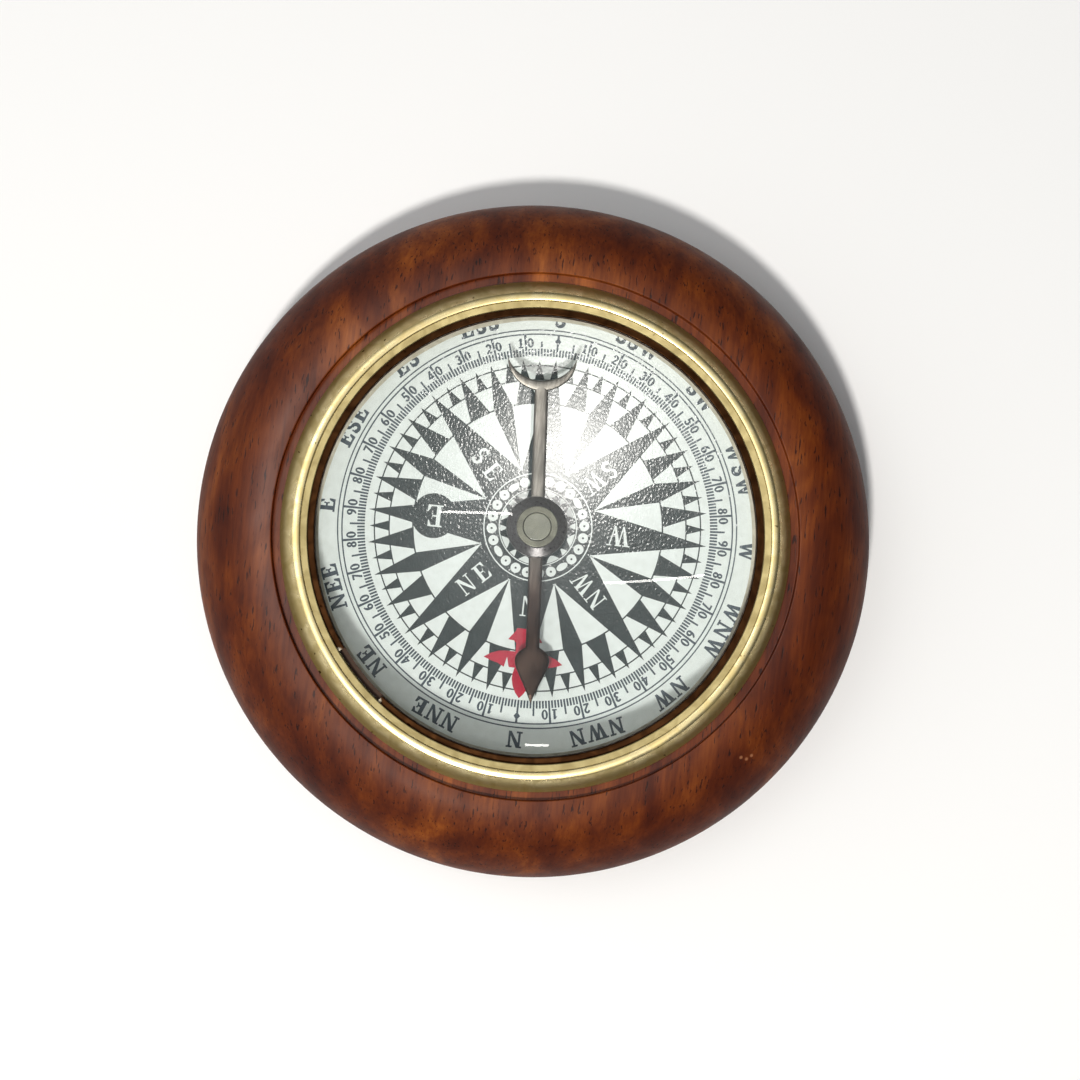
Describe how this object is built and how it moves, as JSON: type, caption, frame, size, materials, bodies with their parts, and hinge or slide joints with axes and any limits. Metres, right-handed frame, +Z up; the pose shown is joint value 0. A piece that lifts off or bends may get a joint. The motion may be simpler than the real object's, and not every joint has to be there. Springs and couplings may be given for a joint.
{
  "type": "desk compass",
  "caption": "Round desk compass: turned wooden case, brass bezel, domed magnifying glass, printed compass-rose card and a dark steel needle that swings on a jewel.",
  "frame": {"origin": "middle of the felt's underside, on the axis of the case", "axes": "+Z up out of the table, +Y towards the card's north, +X towards the card's east"},
  "size_m": [0.1, 0.1, 0.0326],
  "materials": {
    "turned_wood": "satin varnish over open-pored red-brown hardwood",
    "green_felt": "pressed felt",
    "bezel_brass": "turned, polished crest, fine scratches",
    "bowl_brass": "turned, matte",
    "dark_bronze": "dark patina",
    "dome_glass": "polished, clear",
    "card_paper": "printed, semi-gloss",
    "spacer_card": "rolled strip of cream card, matte",
    "needle_steel": "browned",
    "hub_steel": "turned, dark grey",
    "pin_steel": "hardened, ground",
    "setting_metal": "pale, burnished",
    "jewel_stone": "polished agate",
    "gasket_rubber": "matte"
  },
  "bodies": {
    "case": {"wood_body": "turned_wood", "base_felt": "green_felt", "compass_bowl": "bowl_brass", "bowl_screws": "bowl_brass", "dial_plate": "bowl_brass", "compass_card": "card_paper", "pivot_post": "bowl_brass", "pivot_pin": "pin_steel", "pivot_washer": "bowl_brass", "pivot_nut": "bowl_brass", "spacer_ring": "spacer_card", "glass_gasket": "gasket_rubber", "domed_glass": "dome_glass", "retaining_ring": "dark_bronze", "brass_bezel": "bezel_brass"},
    "needle": {"needle_blade": "needle_steel", "hub_washer": "hub_steel", "needle_hub": "hub_steel", "jewel_setting": "setting_metal", "bearing_jewel": "jewel_stone"}
  },
  "joints": [
    {"name": "needle_swing", "type": "hinge", "parent": "case", "child": "needle", "pos_m": [0, -0.0012, 0.0189], "axis": [0, 0, 1], "continuous": true}
  ]
}
